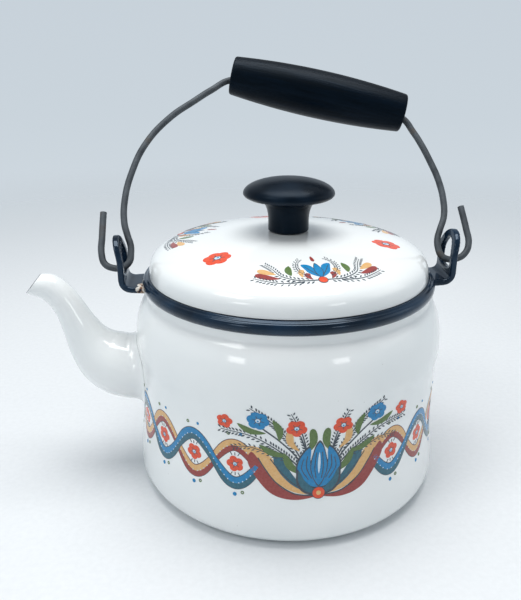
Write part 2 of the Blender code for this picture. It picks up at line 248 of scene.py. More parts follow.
# White vitreous enamel, fired: a glassy coat with a very slight orange peel, a hand's-breadth
# swell in its thickness, and a few fired-in specks.
white_enamel, tree, shader = new_finish("white_enamel_fired")
place = add_node(tree, "TexCoord")
peel = add_node(tree, "TexNoise", values={"Scale": 1 / (3.8 * MM), "Detail": 2.0},
                links={"Vector": (place, "Object")})
swell = add_node(tree, "TexNoise", values={"Scale": 1 / (60 * MM), "Detail": 1.0},
                 links={"Vector": (place, "Object")})
tone = add_node(tree, "ValToRGB", links={"Fac": (swell, "Fac")}, stops=[(0.3, "E9EDED"), (0.7, "F1F3F2")])
speck = add_node(tree, "TexVoronoi", {"feature": "F1"}, {"Scale": 1 / (10.5 * MM)},
                 {"Vector": (place, "Object")})
speck_mask = add_node(tree, "MapRange",
                      values={"From Min": 0.018, "From Max": 0.032, "To Min": 0.4, "To Max": 0.0},
                      links={"Value": (speck, "Distance")})
dirt = add_node(tree, "Mix", {"data_type": "RGBA"}, {"B": linear("8F8A84")},
                {"Factor": (speck_mask, 0), "A": (tone, "Color")})
gloss = add_node(tree, "MapRange", values={"From Min": 0.3, "From Max": 0.7, "To Min": 0.07, "To Max": 0.13},
                 links={"Value": (swell, "Fac")})
lumps = add_node(tree, "Bump", values={"Strength": 0.12, "Distance": 0.12 * MM},
                 links={"Height": (peel, "Fac")})
waves = add_node(tree, "Bump", values={"Strength": 0.3, "Distance": 0.9 * MM},
                 links={"Height": (swell, "Fac"), "Normal": (lumps, 0)})
tree.links.new(dirt.outputs["Result"], shader.inputs["Base Color"])
tree.links.new(gloss.outputs[0], shader.inputs["Roughness"])
tree.links.new(waves.outputs[0], shader.inputs["Normal"])
shader.inputs["Specular IOR Level"].default_value = 0.6
shader.inputs["Coat Weight"].default_value = 0.35
shader.inputs["Coat Roughness"].default_value = 0.04

outside = pot_outline()
inside = offset(outside, SHEET)[::-1]
inside[0] = (NECK_RADIUS - SHEET, NECK_TOP)
pot = turned("pot", outside + inside, POT_SIDES, closed=False)

# The outlet behind the spout, drilled through the wall.
OUTLET_RADIUS, OUTLET_HEIGHT = 16.5 * MM, 67.5 * MM
bpy.ops.object.select_all(action="DESELECT")
bpy.ops.mesh.primitive_cylinder_add(vertices=48, radius=OUTLET_RADIUS, depth=40 * MM,
                                    location=(-WAIST_RADIUS, 0, OUTLET_HEIGHT), rotation=(0, math.pi / 2, 0))
drill = bpy.context.object
bpy.context.view_layer.objects.active = pot
hole = pot.modifiers.new("outlet", "BOOLEAN")
hole.object = drill
hole.solver = "EXACT"
bpy.ops.object.modifier_apply(modifier="outlet")
bpy.data.objects.remove(drill, do_unlink=True)
pot.select_set(True)
bpy.ops.object.shade_smooth_by_angle(angle=SMOOTH_BELOW)
wear(pot, white_enamel, "kettle", "kettle_body")

# ----------------------------------------
# The rim. The pot's mouth, rolled outward into a bead and dipped a second time in blue-black
# enamel. The roll is never quite even, so its highlight wanders.
RIM_TUBE = (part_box("rim_band")[1].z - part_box("rim_band")[0].z) / 2
RIM_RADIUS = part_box("rim_band")[1].x - RIM_TUBE
RIM_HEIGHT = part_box("rim_band")[1].z - RIM_TUBE

# Blue-black enamel: glossy. Beside the front ear it has
# chipped down to rust and to the pale ground coat.
dark_enamel, tree, shader = new_finish("blue_black_enamel_fired")
place = add_node(tree, "TexCoord")
run = add_node(tree, "TexNoise", values={"Scale": 1 / (18 * MM), "Detail": 2.0},
               links={"Vector": (place, "Object")})
peel = add_node(tree, "TexNoise", values={"Scale": 1 / (2.4 * MM), "Detail": 2.0},
                links={"Vector": (place, "Object")})
tone = add_node(tree, "ValToRGB", links={"Fac": (run, "Fac")}, stops=[(0.35, "06121F"), (0.7, "12283C")])
CHIP_SPOTS = ((-86.0, -8.5, 123.4), (-86.5, -13.0, 121.6))
mask = None
for spot in CHIP_SPOTS:
    away = add_node(tree, "VectorMath", {"operation": "DISTANCE"}, {1: tuple(c * MM for c in spot)},
                    {0: (place, "Object")})
    near = add_node(tree, "MapRange",
                    values={"From Min": 2.0 * MM, "From Max": 4.8 * MM, "To Min": 1.0, "To Max": 0.0},
                    links={"Value": (away, "Value")})
    if mask is None:
        mask = near
    else:
        mask = add_node(tree, "Math", {"operation": "MAXIMUM"}, links={0: (mask, 0), 1: (near, 0)})
flake = add_node(tree, "TexNoise", values={"Scale": 1 / (2.6 * MM), "Detail": 4.0},
                 links={"Vector": (place, "Object")})
broken = add_node(tree, "Math", {"operation": "MULTIPLY"}, links={0: (mask, 0), 1: (flake, "Fac")})
chipped = add_node(tree, "MapRange", values={"From Min": 0.3, "From Max": 0.34}, links={"Value": (broken, 0)})
under = add_node(tree, "ValToRGB", links={"Fac": (flake, "Fac")},
                 stops=[(0.38, "6A4530"), (0.44, "B49A80"), (0.5, "D2CBC0")])
skin = add_node(tree, "Mix", {"data_type": "RGBA"}, {},
                {"Factor": (chipped, 0), "A": (tone, "Color"), "B": (under, "Color")})
gloss = add_node(tree, "MapRange", values={"To Min": 0.16, "To Max": 0.75}, links={"Value": (chipped, 0)})
depth = add_node(tree, "Math", {"operation": "SUBTRACT"}, links={0: (run, "Fac"), 1: (chipped, 0)})
lumps = add_node(tree, "Bump", values={"Strength": 0.15, "Distance": 0.15 * MM},
                 links={"Height": (peel, "Fac")})
waves = add_node(tree, "Bump", values={"Strength": 0.45, "Distance": 0.6 * MM},
                 links={"Height": (depth, 0), "Normal": (lumps, 0)})
tree.links.new(skin.outputs["Result"], shader.inputs["Base Color"])
tree.links.new(gloss.outputs[0], shader.inputs["Roughness"])
tree.links.new(waves.outputs[0], shader.inputs["Normal"])
shader.inputs["Specular Tint"].default_value = linear("B8D2EA")
shader.inputs["Coat Weight"].default_value = 0.15
shader.inputs["Coat Roughness"].default_value = 0.08
shader.inputs["Coat Tint"].default_value = linear("C6DAEC")

# The roll is closed a little flat on its outer shoulder, which leaves a soft crease along it.
CREASE_AT, CREASE_HALF, CREASE_DEPTH = 62.0, 13.0, 0.45 * MM  # degrees round the bead, and depth
BEAD_STEPS = 56
bead = []
for i in range(BEAD_STEPS):
    angle = math.tau * i / BEAD_STEPS
    across = (math.degrees(angle) - CREASE_AT) / CREASE_HALF
    reach = RIM_TUBE - CREASE_DEPTH * math.exp(-across * across)
    bead.append((RIM_RADIUS + reach * math.cos(angle), RIM_HEIGHT + reach * math.sin(angle)))
rim = turned("rim", bead, POT_SIDES, closed=True)
wear(rim, dark_enamel, "kettle", "rim_band")

# ----------------------------------------
# The spout. Formed tube, swept up into an S with its mouth turned down, welded to the pot and
# enamelled with it, so its root runs into the wall in a soft fillet.
# (x, z, radius, lean in degrees) of each cross-section, from the wall out to the mouth.
SPOUT_SECTIONS = (
    (-98.0, 67.8, 20.3, 0), (-108.0, 70.8, 19.3, -16), (-116.0, 76.6, 16.7, -35),
    (-122.0, 85.2, 13.4, -50), (-126.6, 95.6, 10.8, -55), (-131.0, 106.6, 9.2, -52),
    (-136.0, 115.2, 8.6, -42), (-142.4, 120.9, 8.0, -30), (-150.4, 123.0, 7.4, -39),
)
SPOUT_SIDES = 64
STEPS_BETWEEN = 6
FILLET, FILLET_STEPS = 5.5 * MM, 8
WELD_LIFT = 0.05 * MM  # how far the fillet's foot stands off the wall
LIP = 0.35 * MM  # how far the mouth's rounded edge stands out


def smooth_between(rows, steps):
    """Catmull-Rom points through the rows of numbers."""
    out = []
    for i in range(len(rows) - 1):
        a, b, c, d = (rows[max(min(k, len(rows) - 1), 0)] for k in (i - 1, i, i + 1, i + 2))
        for k in range(steps):
            t = k / steps
            out.append(tuple(
                0.5 * (2 * q + (r - p) * t + (2 * p - 5 * q + 4 * r - s) * t * t
                       + (3 * q - p - 3 * r + s) * t ** 3)
                for p, q, r, s in zip(a, b, c, d)))
    return out + [tuple(rows[-1])]


def on_wall(y, height, lift):
    """The point of the pot's wall on the spout's side, lifted off it."""
    radius = wall_radius(height) + lift
    return Vector((-math.sqrt(max(radius * radius - y * y, 0.0)), y, height))


def spout_ring(section, inset):
    """The ring of points of one cross-section, drawn in from the outside by an inset."""
    x, z, radius, lean = section
    turn = Matrix.Rotation(math.radians(-lean), 3, "Y")
    ring = []
    for i in range(SPOUT_SIDES):
        angle = math.tau * i / SPOUT_SIDES
        reach = radius * MM - inset
        flat = Vector((0, reach * math.sin(angle), reach * math.cos(angle)))
        ring.append(Vector((x * MM, 0, z * MM)) + turn @ flat)
    return ring


sections = smooth_between(SPOUT_SECTIONS, STEPS_BETWEEN)
rings = [spout_ring(section, 0.0) for section in sections]
root_z, root_radius = SPOUT_SECTIONS[0][1:3]
fillet_rings = []
for k in range(FILLET_STEPS):
    share = k / FILLET_STEPS
    ring = []
    for i, point in enumerate(rings[0]):
        angle = math.tau * i / SPOUT_SIDES
        foot_reach = (root_radius + FILLET / MM) * MM
        foot = on_wall(foot_reach * math.sin(angle), root_z * MM + foot_reach * math.cos(angle), WELD_LIFT)
        corner = on_wall(root_radius * MM * math.sin(angle),
                         root_z * MM + root_radius * MM * math.cos(angle), WELD_LIFT)
        ring.append(foot * (1 - share) ** 2 + corner * 2 * share * (1 - share) + point * share ** 2)
    fillet_rings.append(ring)
inner = [spout_ring(section, SHEET) for section in sections]
root_inner = []
for i in range(SPOUT_SIDES):
    angle = math.tau * i / SPOUT_SIDES
    reach = root_radius * MM - SHEET
    root_inner.append(on_wall(reach * math.sin(angle), root_z * MM + reach * math.cos(angle), 0.0))
# The mouth's raw edge is rounded over between the outer and the inner wall.
mouth_middle = [(a + b) / 2 for a, b in zip(rings[-1], inner[-1])]
outward = Matrix.Rotation(math.radians(-SPOUT_SECTIONS[-1][3]), 3, "Y") @ Vector((-1, 0, 0))
mouth_middle = [point + outward * LIP for point in mouth_middle]
order = fillet_rings + rings + [mouth_middle] + inner[::-1] + [root_inner]

# One ring is extruded once for each cross-section, and then each ring is laid on its section.
bpy.ops.object.select_all(action="DESELECT")
bpy.ops.mesh.primitive_circle_add(vertices=SPOUT_SIDES, radius=root_radius * MM)
bpy.ops.object.mode_set(mode="EDIT")
bpy.ops.mesh.select_all(action="SELECT")
for step in range(len(order)):
    bpy.ops.mesh.extrude_region_move(TRANSFORM_OT_translate={"value": (0, 0, 0)})
bpy.ops.object.mode_set(mode="OBJECT")
spout = bpy.context.object
for k, ring in enumerate([order[-1]] + order):
    for i, point in enumerate(ring):
        spout.data.vertices[k * SPOUT_SIDES + i].co = point
spout = settle("spout_tube")

# The mouth's edge: enamel burnt thin and grey.
raw_edge, tree, shader = new_finish("spout_edge_burnt_enamel")
place = add_node(tree, "TexCoord")
grain = add_node(tree, "TexNoise", values={"Scale": 1 / (2 * MM)}, links={"Vector": (place, "Object")})
tone = add_node(tree, "ValToRGB", links={"Fac": (grain, "Fac")}, stops=[(0.35, "5E5F60"), (0.65, "9AA0A4")])
tree.links.new(tone.outputs[0], shader.inputs["Base Color"])
shader.inputs["Roughness"].default_value = 0.4
wear(spout, white_enamel, "kettle", "spout")
spout.data.materials.append(raw_edge)
mouth_centre = Vector((SPOUT_SECTIONS[-1][0] * MM, 0, SPOUT_SECTIONS[-1][1] * MM))
for face in spout.data.polygons:
    if (face.center - mouth_centre).dot(outward) > LIP * 0.3:
        face.material_index = 1

# ----------------------------------------
# The ears. Bent steel straps with an arched slot, spot-welded beside the rim and dipped with it.
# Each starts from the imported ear, whose edges are rounded as enamel rounds them.
ARM_END = 88.0 * MM  # the arm's vertices nearer the axis than this are its welded end
ARM_TUCK, ARM_SPREAD = 3.0 * MM, 1.12  # the end runs in under the bead and widens to meet it
for name in ("ear_front", "ear_rear"):
    bpy.ops.object.select_all(action="DESELECT")
    ear = frame["nodes"][name].copy()
    ear.data = frame["nodes"][name].data.copy()
    for key in list(ear.keys()):
        del ear[key]
    ear.parent = None
    bpy.context.scene.collection.objects.link(ear)
    ear.select_set(True)
    bpy.context.view_layer.objects.active = ear
    bpy.ops.object.mode_set(mode="EDIT")
    bpy.ops.mesh.select_all(action="SELECT")
    bpy.ops.mesh.remove_doubles(threshold=0.01 * MM)
    bpy.ops.mesh.dissolve_limited(angle_limit=math.radians(2))
    bpy.ops.object.mode_set(mode="OBJECT")
    for vertex in ear.data.vertices:
        reach = vertex.co.xy.length
        if reach < ARM_END:
            vertex.co.x *= (reach - ARM_TUCK) / reach
            vertex.co.y *= ARM_SPREAD
    bevel = ear.modifiers.new("rounded", "BEVEL")
    bevel.width = 1.0 * MM
    bevel.segments = 3
    bevel.limit_method = "ANGLE"
    bevel.angle_limit = math.radians(40)
    even = ear.modifiers.new("even_mesh", "REMESH")
    even.mode = "VOXEL"
    even.voxel_size = 0.5 * MM
    melt = ear.modifiers.new("flowed_enamel", "SMOOTH")
    melt.factor = 0.5
    melt.iterations = 9
    for modifier in ("rounded", "even_mesh", "flowed_enamel"):
        bpy.ops.object.modifier_apply(modifier=modifier)
    ear = settle(name + "_strap")
    wear(ear, dark_enamel, "kettle", name)

# ----------------------------------------
# The bail. One length of round steel wire, bent cold into its two hooks and left bare; it has
# gone dull and brown. It hangs in the ears' slots and leans back behind the lid.
PIVOT = Vector((0.0, 0.0, 131.4 * MM))
LEAN = math.radians(34.0)
WIRE_RADIUS = 2.0 * MM
WIRE_LEFT, WIRE_RIGHT = Vector((-31.7, 0.0, 124.4)) * MM, Vector((80.5, 0.0, 95.9)) * MM
WIRE_BOW = 1.6 * MM  # how far the wire bows upward inside the grip
WIRE_LEAD = 2.0 * MM  # the straight run from each leg into the grip
# (x, height above the pivot line) of each bend of a leg, in millimetres, with the bail upright.
FRONT_LEG = (
    (-109.7, 35.0), (-110.3, 20.0), (-110.4, 8.5), (-108.4, 2.7), (-103.6, 0.1), (-98.2, 0.3),
    (-94.2, 3.6), (-93.3, 8.8), (-93.5, 14.0), (-95.3, 20.0), (-97.3, 28.5), (-97.0, 43.5),
    (-93.2, 60.0), (-84.6, 79.6), (-69.6, 97.4), (-53.6, 109.4), (-43.5, 116.4),
)
REAR_LEG = (
    (85.6, 85.6), (88.8, 79.3), (94.1, 66.0), (98.2, 52.7), (99.9, 39.0), (99.0, 28.5), (95.6, 20.0),
    (93.4, 14.0), (93.2, 8.4), (94.7, 3.4), (98.8, 0.9), (104.4, 1.3), (109.8, 4.6), (112.8, 11.2),
    (112.3, 20.0), (110.5, 35.0),
)
leaning = Matrix.Translation(PIVOT) @ Matrix.Rotation(-LEAN, 4, "X")
along = (WIRE_RIGHT - WIRE_LEFT).normalized()
upward = Vector((-along.z, 0.0, along.x))
bends = [Vector((x, 0.0, z)) * MM for x, z in FRONT_LEG] + [WIRE_LEFT + along * WIRE_LEAD]
bends += [WIRE_LEFT.lerp(WIRE_RIGHT, share) + upward * WIRE_BOW for share in (0.3, 0.7)]
bends += [WIRE_RIGHT - along * WIRE_LEAD] + [Vector((x, 0.0, z)) * MM for x, z in REAR_LEG]
curve = bpy.data.curves.new("bail", "CURVE")
curve.dimensions = "3D"
curve.resolution_u = 10
curve.bevel_depth = WIRE_RADIUS
curve.bevel_resolution = 6
curve.use_fill_caps = True
spline = curve.splines.new("BEZIER")
spline.bezier_points.add(len(bends) - 1)
for knot, bend in zip(spline.bezier_points, bends):
    knot.co = leaning @ bend
    knot.handle_left_type = knot.handle_right_type = "AUTO"
bail = bpy.data.objects.new("bail", curve)
bpy.context.scene.collection.objects.link(bail)
bpy.ops.object.select_all(action="DESELECT")
bail.select_set(True)
bpy.context.view_layer.objects.active = bail
bpy.ops.object.convert(target="MESH")
bail = settle("bail_round_wire")

# Bare drawn steel gone dull: dark grey with brown patches and faint pitting.
dull_wire, tree, shader = new_finish("bare_steel_wire_dulled")
place = add_node(tree, "TexCoord")
patch = add_node(tree, "TexNoise", values={"Scale": 1 / (11 * MM), "Detail": 5.0},
                 links={"Vector": (place, "Object")})
pits = add_node(tree, "TexNoise", values={"Scale": 1 / (0.9 * MM), "Detail": 3.0},
                links={"Vector": (place, "Object")})
tone = add_node(tree, "ValToRGB", links={"Fac": (patch, "Fac")},
                stops=[(0.3, "3E4348"), (0.58, "565C61"), (0.72, "57504A")])
gloss = add_node(tree, "MapRange", values={"To Min": 0.5, "To Max": 0.75}, links={"Value": (patch, "Fac")})
lumps = add_node(tree, "Bump", values={"Strength": 0.35, "Distance": 0.1 * MM},
                 links={"Height": (pits, "Fac")})
tree.links.new(tone.outputs[0], shader.inputs["Base Color"])
tree.links.new(gloss.outputs[0], shader.inputs["Roughness"])
tree.links.new(lumps.outputs[0], shader.inputs["Normal"])
shader.inputs["Metallic"].default_value = 0.55
wear(bail, dull_wire, "bail", "bail_wire")

# ----------------------------------------
# The grip. A hardwood barrel turned on a lathe, bored for the wire, stained black and waxed.
# It is loose on the wire.
GRIP_LENGTH, GRIP_BORE = 112.5 * MM, 6.2 * MM
GRIP_END, GRIP_MIDDLE, GRIP_RISE = 11.9 * MM, 14.9 * MM, 3.4 * MM
ROUND_OVER, BORE_EDGE = 1.4 * MM, 0.6 * MM
BARREL_STEPS, GRIP_SIDES = 20, 72
half = GRIP_LENGTH / 2
barrel = []
for i in range(2 * BARREL_STEPS + 1):
    share = i / BARREL_STEPS - 1
    barrel.append((GRIP_MIDDLE - (GRIP_MIDDLE - GRIP_END) * share ** 2, share * (half - ROUND_OVER)))
for side in (1, -1):
    corner = [(GRIP_END - ROUND_OVER + ROUND_OVER * math.cos(math.radians(a)),
               side * (half - ROUND_OVER + ROUND_OVER * math.sin(math.radians(a)))) for a in (22, 45, 68, 90)]
    corner += [(GRIP_BORE + BORE_EDGE, side * half), (GRIP_BORE, side * (half - BORE_EDGE))]
    barrel += corner if side > 0 else corner[::-1]
grip = turned("grip_barrel", barrel, GRIP_SIDES, closed=True)
grain_place = grip.data.attributes.new("along_the_grain", "FLOAT_VECTOR", "POINT")
grain_place.data.foreach_set("vector", [c for v in grip.data.vertices for c in v.co])
turn = Vector((0, 0, 1)).rotation_difference(along).to_matrix().to_4x4()
middle = (WIRE_LEFT + WIRE_RIGHT) / 2 + upward * GRIP_RISE
grip.data.transform(leaning @ Matrix.Translation(middle) @ turn)

# Black-stained hardwood, waxed: fine pores that run along the grip, with a soft sheen.
black_wood, tree, shader = new_finish("black_stained_hardwood_waxed")
place = add_node(tree, "Attribute", {"attribute_name": "along_the_grain"})
stretch = add_node(tree, "Mapping", values={"Scale": (1.0, 1.0, 0.07)}, links={"Vector": (place, "Vector")})
pores = add_node(tree, "TexNoise", values={"Scale": 1 / (1.05 * MM), "Detail": 4.0, "Roughness": 0.6},
                 links={"Vector": (stretch, 0)})
bands = add_node(tree, "TexNoise", values={"Scale": 1 / (4.5 * MM), "Detail": 2.0},
                 links={"Vector": (stretch, 0)})
both = add_node(tree, "Math", {"operation": "MULTIPLY"}, links={0: (pores, "Fac"), 1: (bands, "Fac")})
tone = add_node(tree, "ValToRGB", links={"Fac": (both, 0)}, stops=[(0.15, "00040A"), (0.4, "050F1A")])
gloss = add_node(tree, "MapRange", values={"From Min": 0.1, "From Max": 0.4, "To Min": 0.48, "To Max": 0.34},
                 links={"Value": (both, 0)})
lumps = add_node(tree, "Bump", values={"Strength": 0.6, "Distance": 0.35 * MM}, links={"Height": (both, 0)})
tree.links.new(tone.outputs[0], shader.inputs["Base Color"])
tree.links.new(gloss.outputs[0], shader.inputs["Roughness"])
tree.links.new(lumps.outputs[0], shader.inputs["Normal"])
shader.inputs["Specular IOR Level"].default_value = 0.12
shader.inputs["Specular Tint"].default_value = linear("B8D2EA")
wear(grip, black_wood, "bail_grip", "grip")

# ----------------------------------------
# The lid. Pressed steel, white enamel: a flat-topped dome with a steep rounded side that stands
# on the rim, and a skirt that drops inside the neck.
LID_RADIUS, LID_EDGE, LID_TOP = 82.2 * MM, 128.9 * MM, 152.4 * MM
CROWN_POWER, SIDE_POWER = 1.64, 3.57  # how flat the crown is and how steep the side
SKIRT_CLEAR = 0.4 * MM  # the underside's own points keep this far from the skirt
SKIRT_RADIUS, SKIRT_BOTTOM = 76.3 * MM, 118.5 * MM
SCREW_HOLE = 2.3 * MM


def lid_height(radius):
    """The height of the lid's top at a radius."""
    share = min(radius / LID_RADIUS, 1.0)
    return LID_EDGE + (LID_TOP - LID_EDGE) * max(1 - share ** CROWN_POWER, 0.0) ** (1 / SIDE_POWER)


dome = []
DOME_STEPS = 56
hole_angle = math.asin(SCREW_HOLE / LID_RADIUS)
for i in range(DOME_STEPS + 1):
    radius = LID_RADIUS * math.sin(hole_angle + (math.pi / 2 - hole_angle) * i / DOME_STEPS)
    dome.append((radius, lid_height(radius)))
below = offset(dome, -SHEET)
below[0] = (SCREW_HOLE, dome[0][1] - SHEET)
below[-1] = (LID_RADIUS - SHEET, LID_EDGE)
rim_side = [point for point in below if point[0] > SKIRT_RADIUS + SKIRT_CLEAR]
middle_side = [point for point in below if point[0] < SKIRT_RADIUS - SHEET - SKIRT_CLEAR]
span = rim_side[0][0] - middle_side[-1][0]
fall = rim_side[0][1] - middle_side[-1][1]
skirt = []
for radius in (SKIRT_RADIUS - SHEET, SKIRT_RADIUS):
    share = (radius - middle_side[-1][0]) / span
    wall = [(radius, middle_side[-1][1] + fall * share), (radius, SKIRT_BOTTOM)]
    skirt += wall if radius < SKIRT_RADIUS else wall[::-1]
lid = turned("lid_dome", dome + (middle_side + skirt + rim_side)[::-1], POT_SIDES, closed=True)
wear(lid, white_enamel, "lid", "lid_shell")

# ----------------------------------------
# The knob. Moulded black phenolic with a turned-looking stem and a mushroom cap, screwed on
# from under the lid. The brass insert, washer and screw stay as packed.
KNOB_BASE, KNOB_TOP, KNOB_EDGE = 152.7 * MM, 183.6 * MM, 174.6 * MM
KNOB_RADIUS, STEM_RADIUS = 26.6 * MM, 11.9 * MM
POCKET_RADIUS, POCKET_TOP = 4.3 * MM, 165.7 * MM
FLARE_BASE, FLARE_OUT, FLARE_UP = KNOB_BASE + 6.5 * MM, 5.0 * MM, 11.0 * MM
CAP_UNDER = KNOB_EDGE - 2.4 * MM  # the cap's underside, nearly flat
CAP_STEPS, KNOB_SIDES = 20, 96
knob_line = [(0.5 * MM, POCKET_TOP), (POCKET_RADIUS, POCKET_TOP), (POCKET_RADIUS, KNOB_BASE)]
knob_line += [(STEM_RADIUS - 0.6 * MM, KNOB_BASE), (STEM_RADIUS, KNOB_BASE + 0.6 * MM)]
for angle in range(180, 99, -8):
    turn_by = math.radians(angle)
    flare_radius = STEM_RADIUS + FLARE_OUT * (1 + math.cos(turn_by))
    knob_line.append((flare_radius, FLARE_BASE + FLARE_UP * math.sin(turn_by)))
knob_line += [(KNOB_RADIUS - 6.0 * MM, CAP_UNDER - 0.9 * MM), (KNOB_RADIUS - 2.6 * MM, CAP_UNDER - 0.2 * MM)]
knob_line += [(KNOB_RADIUS - 1.0 * MM, CAP_UNDER + 0.7 * MM), (KNOB_RADIUS - 0.2 * MM, KNOB_EDGE - 0.7 * MM)]
for i in range(CAP_STEPS):
    angle = math.pi / 2 * i / CAP_STEPS
    knob_line.append((KNOB_RADIUS * math.cos(angle), KNOB_EDGE + (KNOB_TOP - KNOB_EDGE) * math.sin(angle)))
knob_line.append((0.5 * MM, KNOB_TOP))
knob = turned("knob_cap", knob_line, KNOB_SIDES, closed=False)

# Moulded phenolic: near-black, softly glossy, its skin slightly dulled by handling.
black_phenolic, tree, shader = new_finish("black_phenolic_moulded")
place = add_node(tree, "TexCoord")
skin = add_node(tree, "TexNoise", values={"Scale": 1 / (1.5 * MM), "Detail": 3.0},
                links={"Vector": (place, "Object")})
smear = add_node(tree, "TexNoise", values={"Scale": 1 / (17 * MM), "Detail": 3.0},
                 links={"Vector": (place, "Object")})
tone = add_node(tree, "ValToRGB", links={"Fac": (smear, "Fac")}, stops=[(0.35, "040B14"), (0.7, "0B1825")])
gloss = add_node(tree, "MapRange", values={"From Min": 0.3, "From Max": 0.7, "To Min": 0.26, "To Max": 0.4},
                 links={"Value": (smear, "Fac")})
lumps = add_node(tree, "Bump", values={"Strength": 0.25, "Distance": 0.08 * MM},
                 links={"Height": (skin, "Fac")})
tree.links.new(tone.outputs[0], shader.inputs["Base Color"])
tree.links.new(gloss.outputs[0], shader.inputs["Roughness"])
tree.links.new(lumps.outputs[0], shader.inputs["Normal"])
shader.inputs["Specular IOR Level"].default_value = 0.16
shader.inputs["Specular Tint"].default_value = linear("B8D2EA")
wear(knob, black_phenolic, "lid", "lid_knob")

# Turned brass and zinc-plated steel: bright, with fine turning marks.
for name, low, high in (("brass", "9A7738", "C9A45C"), ("zinc", "8E9398", "BFC4C9")):
    metal, tree, shader = new_finish(name + "_turned")
    place = add_node(tree, "TexCoord")
    marks = add_node(tree, "TexNoise", values={"Scale": 1 / (1.4 * MM), "Detail": 3.0},
                     links={"Vector": (place, "Object")})
    tone = add_node(tree, "ValToRGB", links={"Fac": (marks, "Fac")}, stops=[(0.3, low), (0.7, high)])
    tree.links.new(tone.outputs[0], shader.inputs["Base Color"])
    shader.inputs["Metallic"].default_value = 1.0
    shader.inputs["Roughness"].default_value = 0.32
    for node_name in (("knob_insert",) if name == "brass" else ("knob_washer", "knob_screw")):
        node_mesh = frame["nodes"][node_name].data
        node_mesh.materials.clear()
        node_mesh.materials.append(metal)

# ----------------------------------------
# The prints. Ceramic transfers fired on over the white: a band of flowers, leaves and twisted
# ribbons round the pot, and sprays on the lid. Each colour lies a few hundredths proud. Their
# meshes are built directly, since no operator lays a flat drawing on a curved wall.
PRINT_COLOURS = {
    "blue": ("1579B0", "1C86BC"), "teal": ("2C5D6E", "34697A"), "red": ("DC4B28", "E2573A"),
    "maroon": ("8F3B38", "9A4642"), "tan": ("D9A96A", "DFB57E"), "olive": ("556F3C", "617B48"),
    "line": ("38424C", "434D57"), "pale": ("BFD9EA", "D5E5EF"),
}
print_finishes = []
PRINT_ORDER = list(PRINT_COLOURS)
for name, (dark, light) in PRINT_COLOURS.items():
    ink, tree, shader = new_finish("fired_transfer_" + name)
    place = add_node(tree, "TexCoord")
    # A screen-printed coat is uneven on the scale of about a millimetre.
    mottle = add_node(tree, "TexNoise", values={"Scale": 1 / (1.25 * MM), "Detail": 3.0},
                      links={"Vector": (place, "Object")})
    tone = add_node(tree, "ValToRGB", links={"Fac": (mottle, "Fac")}, stops=[(0.35, dark), (0.65, light)])
    tree.links.new(tone.outputs[0], shader.inputs["Base Color"])
    shader.inputs["Roughness"].default_value = 0.2
    print_finishes.append(ink)

PRINT_LIFT = 0.06 * MM
PRINT_STEP = 0.012 * MM  # more than a printed facet departs from the curve, so inks never cross
CELL = 1.6  # longest side of a printed facet, in mm, so that it follows the curve


class Print:
    """Collects flat strokes in millimetres and lays them on a curved surface as one thin piece."""

    def __init__(self, onto):
        self.onto = onto
        self.shape = bmesh.new()
        self.level = 0  # how many coats of ink lie beneath the next stroke

    def stroke(self, colour, spine, widths, place, over=0):
        """A strip along a spine of (u, v) points, with a half-width at each, over so many more coats."""
        lift = PRINT_LIFT + PRINT_STEP * (self.level + over)
        columns = max(1, math.ceil(2 * max(widths) / CELL))
        rows = []
        for i, point in enumerate(spine):
            before, after = spine[max(i - 1, 0)], spine[min(i + 1, len(spine) - 1)]
            run = (after - before).normalized()
            side = Vector((-run.y, run.x)) * widths[i]
            row = []
            for k in range(columns + 1):
                flat = point + side * (2 * k / columns - 1)
                spots = [self.onto(*place(flat), height) for height in (lift, -lift)]
                row.append([self.shape.verts.new(spot) for spot in spots])
            rows.append(row)
        ink = PRINT_ORDER.index(colour)
        faces = []
        last = len(rows) - 1
        for a, b in zip(rows, rows[1:]):
            for k in range(columns):
                faces.append((a[k][0], a[k + 1][0], b[k + 1][0], b[k][0]))
                faces.append((b[k][1], b[k + 1][1], a[k + 1][1], a[k][1]))
            faces.append((a[0][1], a[0][0], b[0][0], b[0][1]))
            faces.append((b[-1][1], b[-1][0], a[-1][0], a[-1][1]))
        for row, back in ((rows[0], False), (rows[last], True)):
            for k in range(columns):
                quad = (row[k][0], row[k][1], row[k + 1][1], row[k + 1][0])
                faces.append(quad[::-1] if back else quad)
        for quad in faces:
            self.shape.faces.new(quad).material_index = ink

    def finish(self, name, body):
        """Makes the collected strokes one named piece that moves with a body."""
        bmesh.ops.recalc_face_normals(self.shape, faces=self.shape.faces[:])
        mesh = bpy.data.meshes.new(name)
        self.shape.to_mesh(mesh)
        self.shape.free()
        for ink in print_finishes:
            mesh.materials.append(ink)
        made = bpy.data.objects.new(name, mesh)
        bpy.context.scene.collection.objects.link(made)
        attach(made, body)


def bent(points, steps):
    """A smooth spine through a few (u, v) points."""
    return [Vector(point) for point in smooth_between([tuple(p) for p in points], steps)]


def taper(count, widest, blunt=0.0, peak=0.5):
    """Half-widths along a leaf: pointed, or blunt at its far end, widest at the peak."""
    widths = []
    for i in range(count):
        share = i / (count - 1)
        rise = math.sin(math.pi / 2 * min(share / peak, 1.0))
        fall = math.cos(math.pi / 2 * max(share - peak, 0.0) / (1 - peak)) if share > peak else 1.0
        widths.append(max(widest * (rise * fall ** (1 - blunt)), 0.05))
    return widths


def leaf(sheet, colour, points, widest, place, blunt=0.0, peak=0.55, over=0):
    """One tapered stroke."""
    spine = bent(points, 9)
    sheet.stroke(colour, spine, taper(len(spine), widest, blunt, peak), place, over)


DOT_STEPS = 10


